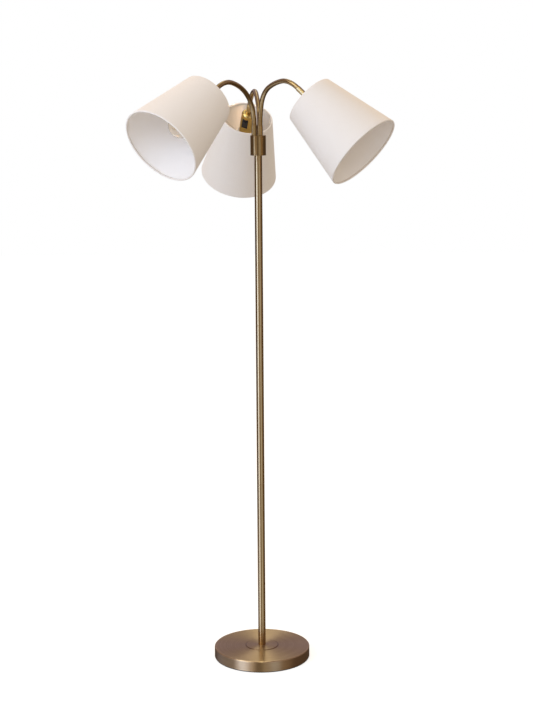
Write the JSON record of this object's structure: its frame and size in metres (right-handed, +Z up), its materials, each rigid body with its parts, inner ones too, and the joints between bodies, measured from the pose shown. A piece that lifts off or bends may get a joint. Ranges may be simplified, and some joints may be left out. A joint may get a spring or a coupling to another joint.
{
  "type": "tree floor lamp",
  "caption": "Floor lamp with a round weighted base, a slim sectional pole and flexible gooseneck arms, each with a conical fabric shade and a rocker switch on its lampholder.",
  "frame": {"origin": "middle of the base's underside, on the floor", "axes": "+Z up along the pole, -Y towards the front, +X to the right seen from the front"},
  "size_m": [0.6383, 0.7677, 1.5164],
  "materials": {
    "antique_brass": "satin",
    "bright_brass": "polished",
    "wound_brass": "satin",
    "cast_filler": "matte",
    "foam_pad": "matte",
    "zinc_steel": "satin",
    "black_rubber": "matte",
    "lead_sheath": "satin",
    "black_plastic": "satin",
    "holder_plastic": "satin",
    "shade_fabric": "matte",
    "frame_wire": "satin",
    "bulb_glass": "gloss",
    "cap_metal": "satin"
  },
  "bodies": {
    "stand": {"base_cover": "antique_brass", "base_weight": "cast_filler", "base_pad": "foam_pad", "base_nipple": "zinc_steel", "base_nut": "zinc_steel", "cord_grommet": "black_rubber", "inner_lead": "lead_sheath", "pole_lower": "antique_brass", "pole_middle": "antique_brass", "pole_upper": "antique_brass", "pole_couplings": "zinc_steel", "pole_end_inserts": "zinc_steel", "hub_plate": "bright_brass", "hub_nipple": "zinc_steel", "hub_cover": "antique_brass", "left_lower_ferrule": "antique_brass", "right_lower_ferrule": "antique_brass", "rear_lower_ferrule": "antique_brass"},
    "left_arm_low": {"left_gooseneck_1": "wound_brass"},
    "left_arm_mid": {"left_gooseneck_2": "wound_brass"},
    "left_arm_high": {"left_gooseneck_3": "wound_brass"},
    "left_head": {"left_gooseneck_4": "wound_brass", "left_upper_ferrule": "bright_brass", "left_socket_cup": "bright_brass", "left_lampholder": "holder_plastic", "left_shade_ring": "holder_plastic", "left_switch_housing": "black_plastic", "left_shade": "shade_fabric", "left_shade_frame": "frame_wire", "left_bulb_glass": "bulb_glass", "left_bulb_cap": "cap_metal"},
    "left_rocker": {"left_rocker": "black_plastic"},
    "right_arm_low": {"right_gooseneck_1": "wound_brass"},
    "right_arm_mid": {"right_gooseneck_2": "wound_brass"},
    "right_arm_high": {"right_gooseneck_3": "wound_brass"},
    "right_head": {"right_gooseneck_4": "wound_brass", "right_upper_ferrule": "bright_brass", "right_socket_cup": "bright_brass", "right_lampholder": "holder_plastic", "right_shade_ring": "holder_plastic", "right_switch_housing": "black_plastic", "right_shade": "shade_fabric", "right_shade_frame": "frame_wire", "right_bulb_glass": "bulb_glass", "right_bulb_cap": "cap_metal"},
    "right_rocker": {"right_rocker": "black_plastic"},
    "rear_arm_low": {"rear_gooseneck_1": "wound_brass"},
    "rear_arm_mid": {"rear_gooseneck_2": "wound_brass"},
    "rear_arm_high": {"rear_gooseneck_3": "wound_brass"},
    "rear_head": {"rear_gooseneck_4": "wound_brass", "rear_upper_ferrule": "bright_brass", "rear_socket_cup": "bright_brass", "rear_lampholder": "holder_plastic", "rear_shade_ring": "holder_plastic", "rear_switch_housing": "black_plastic", "rear_shade": "shade_fabric", "rear_shade_frame": "frame_wire", "rear_bulb_glass": "bulb_glass", "rear_bulb_cap": "cap_metal"},
    "rear_rocker": {"rear_rocker": "black_plastic"}
  },
  "joints": [
    {"name": "left_reach", "type": "hinge", "parent": "stand", "child": "left_arm_low", "pos_m": [-0.0112, -0.0054, 1.4188], "axis": [-0.9397, 0.342, 0], "range_deg": [-15, 45], "deforming": ["left_gooseneck_1"]},
    {"name": "left_swing", "type": "hinge", "parent": "left_arm_low", "child": "left_arm_mid", "pos_m": [-0.02413, -0.03793, 1.46288], "axis": [0.5377, 0.4021, 0.7411], "range_deg": [-30, 30], "deforming": ["left_gooseneck_2"]},
    {"name": "left_tilt", "type": "hinge", "parent": "left_arm_mid", "child": "left_arm_high", "pos_m": [-0.04823, -0.08149, 1.49005], "axis": [-0.7826, 0.5782, 0.2309], "range_deg": [-25, 45], "deforming": ["left_gooseneck_3"]},
    {"name": "left_aim", "type": "hinge", "parent": "left_arm_high", "child": "left_head", "pos_m": [-0.07975, -0.1275, 1.49716], "axis": [0.0202, -0.2735, 0.9617], "range_deg": [-30, 30], "deforming": ["left_gooseneck_4"]},
    {"name": "left_switch", "type": "hinge", "parent": "left_head", "child": "left_rocker", "pos_m": [-0.12215, -0.16945, 1.44396], "axis": [0.797, -0.5764, -0.1806], "range_deg": [0, 16]},
    {"name": "right_reach", "type": "hinge", "parent": "stand", "child": "right_arm_low", "pos_m": [0.00638, -0.01065, 1.41919], "axis": [-0.9336, -0.3584, 0], "range_deg": [-20, 45], "deforming": ["right_gooseneck_1"]},
    {"name": "right_swing", "type": "hinge", "parent": "right_arm_low", "child": "right_arm_mid", "pos_m": [0.01653, -0.03329, 1.4696], "axis": [-0.4656, 0.541, 0.7004], "range_deg": [-30, 30], "deforming": ["right_gooseneck_2"]},
    {"name": "right_tilt", "type": "hinge", "parent": "right_arm_mid", "child": "right_arm_high", "pos_m": [0.043, -0.07603, 1.495], "axis": [-0.8058, -0.5762, -0.137], "range_deg": [-25, 45], "deforming": ["right_gooseneck_3"]},
    {"name": "right_aim", "type": "hinge", "parent": "right_arm_high", "child": "right_head", "pos_m": [0.0768, -0.12068, 1.49783], "axis": [-0.1129, -0.5003, 0.8585], "range_deg": [-30, 30], "deforming": ["right_gooseneck_4"]},
    {"name": "right_switch", "type": "hinge", "parent": "right_head", "child": "right_rocker", "pos_m": [0.12737, -0.14284, 1.44053], "axis": [0.718, 0.5561, 0.4186], "range_deg": [0, 16]},
    {"name": "rear_reach", "type": "hinge", "parent": "stand", "child": "rear_arm_low", "pos_m": [0.00339, 0.01485, 1.41843], "axis": [0.9925, 0.1219, 0], "range_deg": [-8, 45], "deforming": ["rear_gooseneck_1"]},
    {"name": "rear_swing", "type": "hinge", "parent": "rear_arm_low", "child": "rear_arm_mid", "pos_m": [-0.00156, 0.05614, 1.456], "axis": [0.0068, -0.4791, 0.8778], "range_deg": [-30, 30], "deforming": ["rear_gooseneck_2"]},
    {"name": "rear_tilt", "type": "hinge", "parent": "rear_arm_mid", "child": "rear_arm_high", "pos_m": [-0.00777, 0.10978, 1.47244], "axis": [0.9844, 0.14, -0.107], "range_deg": [-20, 45], "deforming": ["rear_gooseneck_3"]},
    {"name": "rear_aim", "type": "hinge", "parent": "rear_arm_high", "child": "rear_head", "pos_m": [-0.01682, 0.16263, 1.45614], "axis": [-0.044, 0.578, 0.8149], "range_deg": [-30, 30], "deforming": ["rear_gooseneck_4"]},
    {"name": "rear_switch", "type": "hinge", "parent": "rear_head", "child": "rear_rocker", "pos_m": [-0.03404, 0.1995, 1.38676], "axis": [-0.9207, 0.2256, 0.3186], "range_deg": [0, 16]}
  ]
}
